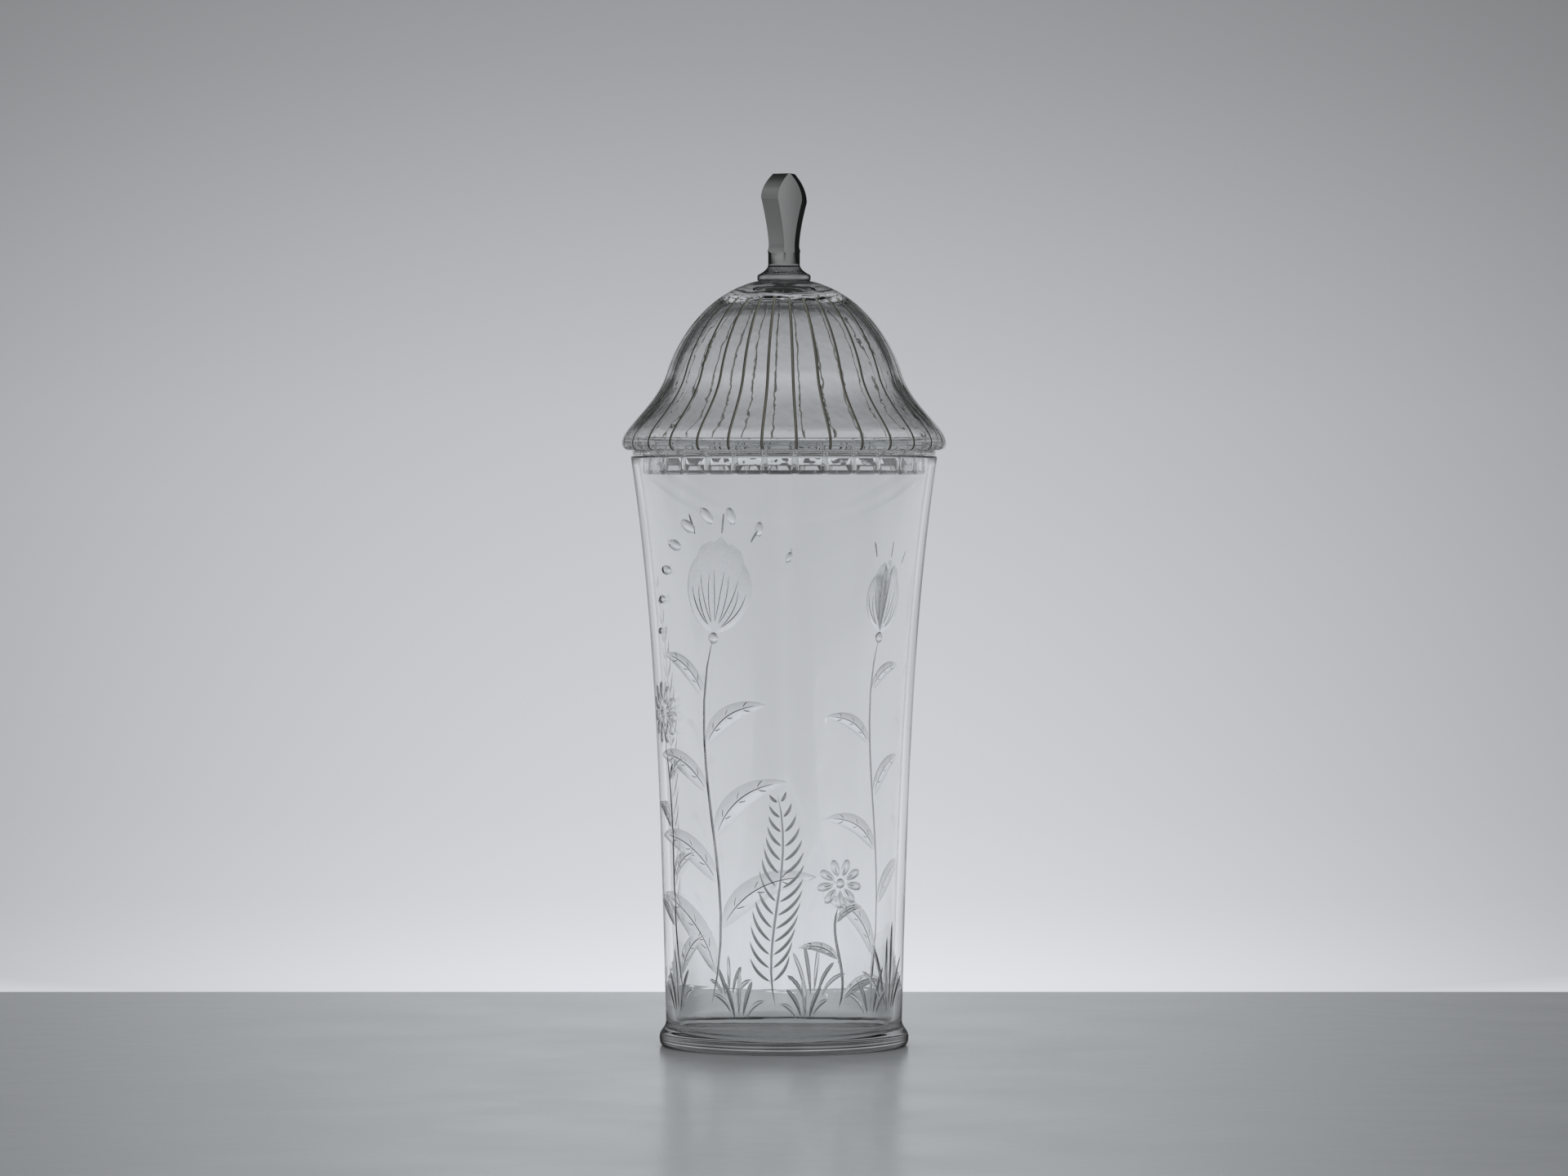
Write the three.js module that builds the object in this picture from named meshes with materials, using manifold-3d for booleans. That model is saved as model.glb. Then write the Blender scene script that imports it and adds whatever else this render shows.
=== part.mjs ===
// Covered glass vase. A tapering vase stands on a thick applied foot, and its lid has a bell-shaped
// dome with cut grooves, a notched flange that hangs inside the mouth, and a six-sided cut knob.
// Millimetres, +Z up. The origin is the centre of the foot on the table, and -Y is the front.
import * as THREE from 'three';
import { mergeVertices } from 'three/addons/utils/BufferGeometryUtils.js';
import Module from 'manifold-3d';

const wasm = await Module();
wasm.setup();

// Foot: a collar of glass round the lower end of the body
const FOOT_HEIGHT = 9.5;
const FOOT_OVERHANG = 2.5;
const FOOT_WIDEST_HEIGHT = 3.2;
const FOOT_EDGE_ROUNDING = 2;
const FOOT_NECK_BEND = 2.8;
const COLLAR_THICKNESS = 1;

// Vase body
const BODY_HEIGHT = 214.3;
const WAIST_RADIUS = 44.8;
const MOUTH_RADIUS = 58.2;
const BODY_TAPER = 5.5;
const FLARE_POWER = 3.4;
const WALL_AT_FLOOR = 3.4;
const WALL_AT_RIM = 2.4;
const BASE_RECESS = 0.6;
const FLOOR_THICKNESS = 2.4;
const FLOOR_CORNER_WIDTH = 4;
const FLOOR_CORNER_HEIGHT = 12;
const RIM_ROUNDING = 0.9;

// Lid: seat, lip and flange
const SEAT_GAP = 0.3;
const SEAT_INSET = 0.8;
const SEAT_BAND_HEIGHT = 1.7;
const LIP_OVERHANG = 3.3;
const LIP_HEIGHT = 4.7;
const LEDGE_HEIGHT = 4.7;
const FLANGE_CLEARANCE = 2.3;
const FLANGE_WALL = 2.5;
const FLANGE_HEIGHT = 7.1;
const FLANGE_BEVEL = 1.6;
const FLANGE_EDGE_ROUNDING = 0.4;

// Lid: dome
const SHOULDER_HEIGHT = 30.8;
const SHOULDER_INSET = 16.8;
const SHOULDER_LEAN = 16.7;
const CROWN_HEIGHT = 66.1;
const CROWN_SLOPE = 12;
const CROWN_FULLNESS = 20;
const SHOULDER_FULLNESS = 13.8;
const FLARE_FULLNESS = 12.6;
const LIP_FULLNESS = 5.8;
const LIP_WALL = 2.9;
const FLARE_WALL = 2.5;
const FLARE_THINNEST_HEIGHT = 11;
const DOME_WALL = 3.4;
const CROWN_WALL = 7.4;
const HOLLOW_CROWN_WIDTH = 0.3;
const HOLLOW_CROWN_DEPTH = 5.5;
const LEDGE_ROUNDING = 0.6;

// Cut decoration of the lid
const GROOVE_COUNT = 30;
const GROOVE_WIDTH = 1.1;
const GROOVE_DEPTH = 0.5;
const GROOVE_TOP_RADIUS = 24.5;
const GROOVE_RUNOUT = 4;
const GROOVE_TURN = 4.3;
const NOTCH_WHEEL_RADIUS = 1.7;
const NOTCH_DEPTH = 1.3;
const NOTCH_TILT = 8;
const NOTCH_OVERRUN = 2;

// Button between dome and knob
const BUTTON_RADIUS = 10.1;
const BUTTON_FOOT_RADIUS = 9.7;
const BUTTON_HEIGHT = 6.2;
const BUTTON_EDGE_HEIGHT = 2.4;

// Knob: half width of the front face, half width over the side edges and half depth at each level
const KNOB_TURN = 21;
const KNOB_NECK_RADIUS = 6;
const KNOB_NECK_LEVEL = 4.3;
const KNOB_RUNOUT_LEVEL = 2.3;
const KNOB_RUNOUT_SIDE = 9;
const KNOB_WAIST_LEVEL = 7.2;
const KNOB_RIDGE_LEVEL = 24.5;
const KNOB_HEIGHT = 34.4;
const KNOB_WAIST_FACE = 2.1;
const KNOB_WAIST_SIDE = 6.2;
const KNOB_WAIST_DEPTH = 5.7;
const KNOB_RIDGE_FACE = 4.9;
const KNOB_RIDGE_SIDE = 9.3;
const KNOB_RIDGE_DEPTH = 6.3;
const KNOB_TOP_FACE = 0.3;
const KNOB_TOP_SIDE = 4.4;
const KNOB_TOP_DEPTH = 5.6;
const KNOB_RIDGE_TILT = 0.1;

// Steps along and around the curves
const ROUND_STEPS = 60;
const WALL_STEPS = 10;
const FLARE_STEPS = 6;
const CROWN_STEPS = 8;
const HOLLOW_ROUND_STEPS = 40;
const SMALL_ROUND_STEPS = 32;
const CORNER_STEPS = 3;
const NOTCH_STEPS = 12;
const KNOB_STEPS = 6;
const NECK_STEPS = 7;

// Sizes that follow from the ones above
const RIM_LEVEL = FOOT_HEIGHT + BODY_HEIGHT;
const LID_LEVEL = RIM_LEVEL + SEAT_GAP;
const SEAT_RADIUS = MOUTH_RADIUS - SEAT_INSET;
const LIP_RADIUS = MOUTH_RADIUS + LIP_OVERHANG;
const FLANGE_OUTER_RADIUS = MOUTH_RADIUS - WALL_AT_RIM - FLANGE_CLEARANCE;
const FLANGE_INNER_RADIUS = FLANGE_OUTER_RADIUS - FLANGE_WALL;
const SOCKET_RADIUS = WAIST_RADIUS - COLLAR_THICKNESS;
const SHOULDER_RADIUS = LIP_RADIUS - SHOULDER_INSET;

function unitVector(degreesFromDown) {
  const angle = THREE.MathUtils.degToRad(degreesFromDown);
  return new THREE.Vector2(Math.sin(angle), -Math.cos(angle));
}

function point(radius, height) {
  return new THREE.Vector2(radius, height);
}

// Points of a curve without its first one, so that curves can follow each other in a profile.
function along(curve, steps) {
  return curve.getPoints(steps).slice(1);
}

// Quarter round from one point to another, round the corner where their tangents meet.
function corner(from, tip, to, steps = CORNER_STEPS) {
  return along(new THREE.QuadraticBezierCurve(from, tip, to), steps);
}

// A solid turned about the vertical axis, from a profile that runs up its outside.
function turned(profile, steps) {
  return new THREE.LatheGeometry(profile, steps).rotateX(Math.PI / 2);
}

// A solid for joining and cutting, from a closed geometry.
function solidOf(geometry) {
  const bare = geometry.clone();
  bare.deleteAttribute('normal');
  bare.deleteAttribute('uv');
  const merged = mergeVertices(bare);
  const corners = merged.index.array;
  const kept = [];
  for (let i = 0; i < corners.length; i += 3) {
    const [a, b, c] = corners.slice(i, i + 3);
    if (a !== b && b !== c && c !== a) {
      kept.push(a, b, c);
    }
  }
  const vertProperties = new Float32Array(merged.attributes.position.array);
  const triVerts = new Uint32Array(kept);
  return new wasm.Manifold(new wasm.Mesh({ numProp: 3, vertProperties, triVerts }));
}

function geometryOf(solid) {
  const mesh = solid.getMesh();
  const geometry = new THREE.BufferGeometry();
  geometry.setAttribute('position', new THREE.BufferAttribute(mesh.vertProperties, 3));
  geometry.setIndex(new THREE.BufferAttribute(mesh.triVerts, 1));
  geometry.computeVertexNormals();
  return geometry;
}

// Foot: flared collar with a rounded edge, standing on a flat ring, with a socket for the body.
function footGeometry() {
  const footRadius = WAIST_RADIUS + FOOT_OVERHANG;
  const bearingRadius = footRadius - FOOT_EDGE_ROUNDING;
  const edge = point(footRadius, FOOT_WIDEST_HEIGHT);
  const top = point(WAIST_RADIUS, FOOT_HEIGHT);
  const neck = new THREE.CubicBezierCurve(
    edge,
    point(footRadius, FOOT_WIDEST_HEIGHT + FOOT_NECK_BEND),
    point(WAIST_RADIUS, FOOT_HEIGHT - FOOT_NECK_BEND),
    top,
  );
  return turned([
    point(SOCKET_RADIUS, 0),
    point(bearingRadius, 0),
    ...corner(point(bearingRadius, 0), point(footRadius, 0), edge),
    ...along(neck, 5),
    point(SOCKET_RADIUS, FOOT_HEIGHT),
    point(SOCKET_RADIUS, 0),
  ], ROUND_STEPS);
}

// Outer radius of the body at a height over the foot: a straight taper and a flare to the mouth.
function bodyRadius(height) {
  const share = height / BODY_HEIGHT;
  const flare = MOUTH_RADIUS - WAIST_RADIUS - BODY_TAPER;
  return WAIST_RADIUS + BODY_TAPER * share + flare * share ** FLARE_POWER;
}

// The blown wall is thickest at the floor.
function boreRadius(height) {
  const wall = THREE.MathUtils.lerp(WALL_AT_FLOOR, WALL_AT_RIM, height / BODY_HEIGHT);
  return bodyRadius(height) - wall;
}

// Points of one face of the wall between two heights, from the foot up.
function wallPoints(radiusAt, from, to, steps) {
  return Array.from({ length: steps + 1 }, (_, i) => {
    const height = THREE.MathUtils.lerp(from, to, i / steps);
    return point(radiusAt(height), height);
  });
}

// Body, from its base in the foot's socket up the outside, over the fire-rounded rim and down the
// inside. Heights are over the foot.
function bodyGeometry() {
  const base = BASE_RECESS - FOOT_HEIGHT;
  const floor = base + FLOOR_THICKNESS;
  const cornerTop = floor + FLOOR_CORNER_HEIGHT;
  const rimEdge = BODY_HEIGHT - RIM_ROUNDING;
  const outerEdge = point(bodyRadius(rimEdge), rimEdge);
  const innerEdge = point(boreRadius(rimEdge), rimEdge);
  const rimOuter = point(outerEdge.x - RIM_ROUNDING, BODY_HEIGHT);
  const rimInner = point(innerEdge.x + RIM_ROUNDING, BODY_HEIGHT);
  const floorCorner = point(boreRadius(cornerTop), floor);
  const floorEdge = point(floorCorner.x - FLOOR_CORNER_WIDTH, floor);
  return turned([
    point(0, base),
    point(SOCKET_RADIUS, base),
    point(SOCKET_RADIUS, 0),
    ...wallPoints(bodyRadius, 0, rimEdge, WALL_STEPS),
    ...corner(outerEdge, point(outerEdge.x, BODY_HEIGHT), rimOuter),
    rimInner,
    ...corner(rimInner, point(innerEdge.x, BODY_HEIGHT), innerEdge),
    ...wallPoints(boreRadius, cornerTop, rimEdge, WALL_STEPS).reverse().slice(1),
    ...corner(point(boreRadius(cornerTop), cornerTop), floorCorner, floorEdge, 5),
    point(0, floor),
  ], ROUND_STEPS);
}

// The two curves of the dome's outside, which meet at the shoulder: the flare from the rolled lip
// up, and the crown from there to the button's seat.
function domeCurves() {
  const lean = unitVector(SHOULDER_LEAN);
  const lip = point(LIP_RADIUS, LIP_HEIGHT);
  const shoulder = point(SHOULDER_RADIUS, SHOULDER_HEIGHT);
  const crownEdge = point(BUTTON_FOOT_RADIUS, CROWN_HEIGHT);
  const crownLine = unitVector(90 - CROWN_SLOPE);
  const flare = new THREE.CubicBezierCurve(
    lip,
    point(LIP_RADIUS, LIP_HEIGHT + LIP_FULLNESS),
    shoulder.clone().addScaledVector(lean, FLARE_FULLNESS),
    shoulder,
  );
  const crown = new THREE.CubicBezierCurve(
    shoulder,
    shoulder.clone().addScaledVector(lean, -SHOULDER_FULLNESS),
    crownEdge.clone().addScaledVector(crownLine, CROWN_FULLNESS),
    crownEdge,
  );
  return { lip, flare, crown };
}

// Profile of the dome's outside, from the seat up over the rolled lip.
function domeProfile() {
  const { lip, flare, crown } = domeCurves();
  const lipUnderside = point(LIP_RADIUS - (LIP_HEIGHT - SEAT_BAND_HEIGHT), SEAT_BAND_HEIGHT);
  return [
    point(0, 0),
    point(SEAT_RADIUS, 0),
    point(SEAT_RADIUS, SEAT_BAND_HEIGHT),
    lipUnderside,
    ...corner(lipUnderside, point(LIP_RADIUS, SEAT_BAND_HEIGHT), lip),
    ...along(flare, FLARE_STEPS),
    ...along(crown, CROWN_STEPS),
    point(0, CROWN_HEIGHT),
  ];
}

// How much of its full depth the groove has at a profile point: none on the seat, all on the lip
// and flare, and a run-out below the crown.
function grooveShare(place) {
  if (place.y <= SEAT_BAND_HEIGHT && place.x <= SEAT_RADIUS) {
    return 0;
  }
  return THREE.MathUtils.clamp((place.x - GROOVE_TOP_RADIUS) / GROOVE_RUNOUT, 0, 1);
}

function outwardNormal(profile, i) {
  const before = profile[Math.max(i - 1, 0)];
  const after = profile[Math.min(i + 1, profile.length - 1)];
  const run = after.clone().sub(before).normalize();
  return point(run.y, -run.x);
}

// The dome's blank, turned from its profile with four columns of points to each groove: its two
// edges, its bed between them, and the middle of the land beside it.
function groovedBlank() {
  const profile = domeProfile();
  const pitch = 2 * Math.PI / GROOVE_COUNT;
  const columns = 4 * GROOVE_COUNT;
  const blank = new THREE.LatheGeometry(profile, columns);
  const positions = blank.attributes.position;
  for (let vertex = 0; vertex < positions.count; vertex += 1) {
    const row = vertex % profile.length;
    const column = Math.floor(vertex / profile.length) % columns;
    const place = profile[row];
    const halfWidth = place.x > 0 ? GROOVE_WIDTH / 2 / place.x : 0;
    const bed = column % 4 === 1 ? GROOVE_DEPTH * grooveShare(place) : 0;
    const cut = place.clone().addScaledVector(outwardNormal(profile, row), -bed);
    const turn = [-halfWidth, 0, halfWidth, pitch / 2][column % 4];
    const angle = Math.floor(column / 4) * pitch + turn + THREE.MathUtils.degToRad(GROOVE_TURN);
    positions.setXYZ(vertex, cut.x * Math.sin(angle), cut.y, cut.x * Math.cos(angle));
  }
  return blank.rotateX(Math.PI / 2);
}

// Thickness of the blown dome where its outside has a height: less in the flare than at the lip,
// and full from the shoulder up.
function domeWall(height) {
  const { lerp, smoothstep } = THREE.MathUtils;
  const lipShare = smoothstep(height, LIP_HEIGHT, FLARE_THINNEST_HEIGHT);
  const shoulderShare = smoothstep(height, FLARE_THINNEST_HEIGHT, SHOULDER_HEIGHT);
  return lerp(lerp(LIP_WALL, FLARE_WALL, lipShare), DOME_WALL, shoulderShare);
}

// Points of the inner dome, square below the outside, from the ledge up to where its round crown
// begins.
function innerDomePoints(crownStart) {
  const { lip, flare, crown } = domeCurves();
  const outside = [lip, ...along(flare, FLARE_STEPS), ...along(crown, CROWN_STEPS)];
  const inside = outside.map((place, i) => (
    place.clone().addScaledVector(outwardNormal(outside, i), -domeWall(place.y))
  ));
  const lowest = LEDGE_HEIGHT + LEDGE_ROUNDING;
  return inside.filter((place) => place.y > lowest && place.y < crownStart);
}

// The hollow under the dome: a round opening through the seat, a ledge, and an inner dome with a
// flattened crown.
function hollowGeometry() {
  const apexHeight = CROWN_HEIGHT - CROWN_WALL;
  const inside = innerDomePoints(apexHeight - HOLLOW_CROWN_DEPTH);
  const lowest = inside[0];
  const [beforeLast, last] = inside.slice(-2);
  const ledgeEnd = point(lowest.x, LEDGE_HEIGHT + LEDGE_ROUNDING);
  const ledge = point(lowest.x - LEDGE_ROUNDING, LEDGE_HEIGHT);
  const slope = last.clone().sub(beforeLast);
  const crownTip = last.clone().addScaledVector(slope, (apexHeight - last.y) / slope.y);
  const crownFlat = point(SHOULDER_RADIUS * HOLLOW_CROWN_WIDTH, apexHeight);
  return turned([
    point(0, -1),
    point(FLANGE_INNER_RADIUS, -1),
    point(FLANGE_INNER_RADIUS, LEDGE_HEIGHT),
    ledge,
    ...corner(ledge, point(ledgeEnd.x, LEDGE_HEIGHT), ledgeEnd, 2),
    ...inside,
    ...corner(last, crownTip, crownFlat, 4),
    point(0, apexHeight),
  ], HOLLOW_ROUND_STEPS);
}

function domeGeometry() {
  return geometryOf(solidOf(groovedBlank()).subtract(solidOf(hollowGeometry())));
}

// One round-edged wheel cut down the outside of the flange, deepest at the lower edge.
function notchCutter(angle) {
  const length = FLANGE_HEIGHT + 2 * NOTCH_OVERRUN;
  const wheel = NOTCH_WHEEL_RADIUS;
  const cutter = new THREE.CylinderGeometry(wheel, wheel, length, NOTCH_STEPS);
  const reach = FLANGE_OUTER_RADIUS - NOTCH_DEPTH + NOTCH_WHEEL_RADIUS;
  cutter.rotateX(Math.PI / 2);
  cutter.translate(0, 0, length / 2 - NOTCH_OVERRUN);
  cutter.rotateX(THREE.MathUtils.degToRad(NOTCH_TILT));
  cutter.translate(0, -reach, -FLANGE_HEIGHT);
  cutter.rotateZ(angle);
  return cutter;
}

// Flange: a ring that hangs inside the mouth, bevelled below towards its bore.
function flangeGeometry() {
  let ring = solidOf(turned([
    point(FLANGE_INNER_RADIUS, -FLANGE_HEIGHT + FLANGE_BEVEL),
    point(FLANGE_OUTER_RADIUS - 2 * FLANGE_EDGE_ROUNDING, -FLANGE_HEIGHT),
    point(FLANGE_OUTER_RADIUS - FLANGE_EDGE_ROUNDING, -FLANGE_HEIGHT),
    point(FLANGE_OUTER_RADIUS, -FLANGE_HEIGHT + FLANGE_EDGE_ROUNDING),
    point(FLANGE_OUTER_RADIUS, 0),
    point(FLANGE_INNER_RADIUS, 0),
    point(FLANGE_INNER_RADIUS, -FLANGE_HEIGHT + FLANGE_BEVEL),
  ], 2 * GROOVE_COUNT));
  const pitch = 2 * Math.PI / GROOVE_COUNT;
  for (let i = 0; i < GROOVE_COUNT; i += 1) {
    const angle = i * pitch + THREE.MathUtils.degToRad(GROOVE_TURN);
    ring = ring.subtract(solidOf(notchCutter(angle)));
  }
  return geometryOf(ring);
}

// Button: a turned disc whose flank sweeps in to the knob's neck.
function buttonGeometry() {
  const rounding = BUTTON_EDGE_HEIGHT / 2;
  const edge = point(BUTTON_RADIUS, rounding);
  const shoulder = point(BUTTON_RADIUS - rounding / 2, BUTTON_EDGE_HEIGHT);
  const neck = point(KNOB_NECK_RADIUS, BUTTON_HEIGHT);
  const flank = point(KNOB_NECK_RADIUS, (BUTTON_HEIGHT + BUTTON_EDGE_HEIGHT) / 2);
  return turned([
    point(0, 0),
    point(BUTTON_FOOT_RADIUS, 0),
    edge,
    ...corner(edge, point(BUTTON_RADIUS, BUTTON_EDGE_HEIGHT), shoulder),
    ...corner(shoulder, flank, neck, 5),
    point(0, BUTTON_HEIGHT),
  ], SMALL_ROUND_STEPS);
}

// Half sizes of the knob's six-sided section at a height: cuts that run out of the round neck,
// hollow out to the ridge and close in an arch at the top.
function knobSection(height) {
  const waist = [KNOB_WAIST_FACE, KNOB_WAIST_SIDE, KNOB_WAIST_DEPTH];
  const ridge = [KNOB_RIDGE_FACE, KNOB_RIDGE_SIDE, KNOB_RIDGE_DEPTH];
  const top = [KNOB_TOP_FACE, KNOB_TOP_SIDE, KNOB_TOP_DEPTH];
  const clear = [KNOB_WAIST_FACE, KNOB_RUNOUT_SIDE, KNOB_NECK_RADIUS];
  if (height < KNOB_WAIST_LEVEL) {
    const share = (KNOB_WAIST_LEVEL - height) / (KNOB_WAIST_LEVEL - KNOB_RUNOUT_LEVEL);
    return waist.map((size, i) => size + (clear[i] - size) * share ** 2);
  }
  if (height <= KNOB_RIDGE_LEVEL) {
    const share = (height - KNOB_WAIST_LEVEL) / (KNOB_RIDGE_LEVEL - KNOB_WAIST_LEVEL);
    return waist.map((size, i) => size + (ridge[i] - size) * share ** 1.5);
  }
  const share = (height - KNOB_RIDGE_LEVEL) / (KNOB_HEIGHT - KNOB_RIDGE_LEVEL);
  return top.map((size, i) => size + (ridge[i] - size) * (1 - share ** 2));
}

// How near a height lies to the ridge: 1 on it, 0 at the waist and at the top.
function ridgeShare(height) {
  const below = (height - KNOB_WAIST_LEVEL) / (KNOB_RIDGE_LEVEL - KNOB_WAIST_LEVEL);
  const above = (KNOB_HEIGHT - height) / (KNOB_HEIGHT - KNOB_RIDGE_LEVEL);
  return Math.max(0, Math.min(below, above));
}

// Levels of the knob's sections, with steps of their own in the run-out, waist and arch.
function knobLevels() {
  const stretch = (from, to, steps) => (
    Array.from({ length: steps }, (_, i) => THREE.MathUtils.lerp(from, to, i / steps))
  );
  return [
    ...stretch(-1, KNOB_WAIST_LEVEL, NECK_STEPS),
    ...stretch(KNOB_WAIST_LEVEL, KNOB_RIDGE_LEVEL, KNOB_STEPS),
    ...stretch(KNOB_RIDGE_LEVEL, KNOB_HEIGHT, KNOB_STEPS),
    KNOB_HEIGHT,
  ];
}

// Corner of the knob's section that lies a number of sixths of a turn round from the front.
function knobCorner(sixths, height) {
  const [face, side, depth] = knobSection(height);
  const around = [
    [face, -depth],
    [side, 0],
    [face, depth],
    [-face, depth],
    [-side, 0],
    [-face, -depth],
  ];
  return around[(sixths + 6) % 6];
}

// Six-sided loft: the corners of a hexagonal prism moved to the section at their level. The ridge
// falls a little from one side to the other.
function knobLoft() {
  const levels = knobLevels();
  const rows = levels.length - 1;
  const loft = new THREE.CylinderGeometry(1, 1, 1, 6, rows);
  const positions = loft.attributes.position;
  const prism = new THREE.Vector3();
  for (let vertex = 0; vertex < positions.count; vertex += 1) {
    prism.fromBufferAttribute(positions, vertex);
    const height = levels[Math.round((prism.y + 0.5) * rows)];
    const sixths = Math.round(Math.atan2(prism.x, prism.z) / (Math.PI / 3));
    const onAxis = Math.hypot(prism.x, prism.z) < 0.5;
    const [x, y] = onAxis ? [0, 0] : knobCorner(sixths, height);
    positions.setXYZ(vertex, x, y, height - KNOB_RIDGE_TILT * x * ridgeShare(height));
  }
  return loft;
}

// Round blank of the knob: a neck that widens beyond the cuts.
function knobBlank() {
  const reach = 2 * KNOB_RIDGE_SIDE;
  return turned([
    point(0, 0),
    point(KNOB_NECK_RADIUS, 0),
    point(KNOB_NECK_RADIUS, KNOB_NECK_LEVEL),
    point(reach, KNOB_RIDGE_LEVEL),
    point(reach, KNOB_HEIGHT + 1),
    point(0, KNOB_HEIGHT + 1),
  ], SMALL_ROUND_STEPS);
}

function knobGeometry() {
  return geometryOf(solidOf(knobBlank()).intersect(solidOf(knobLoft())));
}

function glass(name, geometry, color) {
  const material = new THREE.MeshStandardMaterial({ color, roughness: 0.04, metalness: 0 });
  material.transparent = true;
  material.opacity = 0.4;
  const mesh = new THREE.Mesh(geometry, material);
  mesh.name = name;
  return mesh;
}

function vase() {
  const group = new THREE.Group();
  const body = glass('vase_body', bodyGeometry(), 0xd9dddd);
  body.position.z = FOOT_HEIGHT;
  group.add(glass('foot', footGeometry(), 0xc9cecf), body);
  return group;
}

function lid() {
  const group = new THREE.Group();
  const button = glass('finial_button', buttonGeometry(), 0xb4b9b8);
  const knob = glass('finial_knob', knobGeometry(), 0x8f9490);
  button.position.z = CROWN_HEIGHT;
  knob.position.z = CROWN_HEIGHT + BUTTON_HEIGHT;
  knob.rotation.z = THREE.MathUtils.degToRad(KNOB_TURN);
  group.add(glass('lid_dome', domeGeometry(), 0xd0d4d4));
  group.add(glass('lid_flange', flangeGeometry(), 0xc4c9c9));
  group.add(button, knob);
  group.position.z = LID_LEVEL;
  return group;
}

const coveredVase = new THREE.Group();
coveredVase.add(vase(), lid());

export default coveredVase;
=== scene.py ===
import math
import random

import bmesh
import bpy
from mathutils import Matrix, Vector
from mathutils.geometry import interpolate_bezier


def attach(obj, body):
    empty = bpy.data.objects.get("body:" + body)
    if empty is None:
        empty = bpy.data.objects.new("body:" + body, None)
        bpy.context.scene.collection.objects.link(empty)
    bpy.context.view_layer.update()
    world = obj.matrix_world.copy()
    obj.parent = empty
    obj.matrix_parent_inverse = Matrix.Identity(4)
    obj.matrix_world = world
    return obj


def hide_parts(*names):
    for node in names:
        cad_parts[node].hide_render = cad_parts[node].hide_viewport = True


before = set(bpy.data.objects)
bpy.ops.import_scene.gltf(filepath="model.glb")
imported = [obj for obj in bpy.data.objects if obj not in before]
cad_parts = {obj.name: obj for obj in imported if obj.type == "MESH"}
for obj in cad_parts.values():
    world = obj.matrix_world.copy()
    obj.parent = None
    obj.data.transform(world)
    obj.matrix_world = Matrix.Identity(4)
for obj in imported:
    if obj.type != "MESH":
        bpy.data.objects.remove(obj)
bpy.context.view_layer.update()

# Lengths are in millimetres until a piece is finished.
MM = 0.001

# Foot
FOOT_HEIGHT = 9.5
FOOT_RADIUS = 47.3
FOOT_WIDEST = 3.2
BEARING_RADIUS = 45.3
SOCKET_RADIUS = 43.8
NECK_BEND = 2.8

# Vase body
BODY_HEIGHT = 214.3
WAIST_RADIUS = 44.8
MOUTH_RADIUS = 58.2
BODY_TAPER = 5.5
FLARE_POWER = 3.4
WALL_AT_FLOOR = 3.4
WALL_AT_RIM = 2.4
BASE_RECESS = 0.6
RECESS_CORNER = 2
FLOOR_THICKNESS = 2.4
FLOOR_CORNER_WIDTH = 4
FLOOR_CORNER_HEIGHT = 12
RIM_ROUNDING = 0.9

# Lid
LID_LEVEL = 224.1
SEAT_RADIUS = 57.4
SEAT_BAND = 1.7
SEAT_EDGE = 0.2
SEAT_MARGIN = 0.5
LIP_UNDERCUT = 1.1
LIP_RADIUS = 61.5
LIP_HEIGHT = 4.7
LIP_FULLNESS = 5.8
SHOULDER_RADIUS = 44.7
SHOULDER_HEIGHT = 30.8
SHOULDER_LEAN = 16.7
FLARE_FULLNESS = 12.6
SHOULDER_FULLNESS = 13.8
CROWN_HEIGHT = 66.1
CROWN_SLOPE = 12
CROWN_FULLNESS = 20
HOLLOW_TOP = 58.7
HOLLOW_FLAT = 14
HOLLOW_CROWN = 53.2
LIP_WALL = 2.9
FLARE_WALL = 2.5
FLARE_THINNEST = 11
DOME_WALL = 3.4
LEDGE_HEIGHT = 4.7
LEDGE_ROUNDING = 0.6
LEDGE_FALL = 2
FLANGE_OUTER = 53.5
FLANGE_INNER = 51
FLANGE_HEIGHT = 7.1
FLANGE_BEVEL = 1.6
FLANGE_NARROWING = 1.2
FLANGE_EDGE = 0.4

# Cuts in the lid
CUT_COUNT = 30
CUT_COLUMNS = 12
CUT_TURN = 4.3
GROOVE_PITCH = math.tau / CUT_COUNT
GROOVE_WIDTH = 1.05
GROOVE_DEPTH = 0.5
GROOVE_TOP = 24.5
GROOVE_RUNOUT = 4
GROOVE_EDGE_COLUMN = 3
NOTCH_WHEEL = 1.7
NOTCH_DEPTH = 1.3
NOTCH_TILT = 8
NOTCH_OVERRUN = 2

# Button and knob
BUTTON_RADIUS = 10.1
BUTTON_FOOT = 9.7
BUTTON_EDGE = 2.4
BUTTON_HEIGHT = 6.2
KNOB_TURN = 21
KNOB_NECK = 6
NECK_LEVEL = 4.3
RUNOUT_LEVEL = 2.3
WAIST_LEVEL = 7.2
RIDGE_LEVEL = 24.5
KNOB_HEIGHT = 34.4
KNOB_SINK = 0.05
LOFT_START = -1
BLANK_REACH = 20
RIDGE_TILT = 0.1

# Half sizes of the knob's section: its front flat, side to side, and front to back.
RUNOUT_SECTION = (2.1, 9.0, KNOB_NECK)
WAIST_SECTION = (2.1, 6.2, 5.7)
RIDGE_SECTION = (4.9, 9.3, 6.3)
TOP_SECTION = (0.3, 4.4, 5.6)

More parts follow.
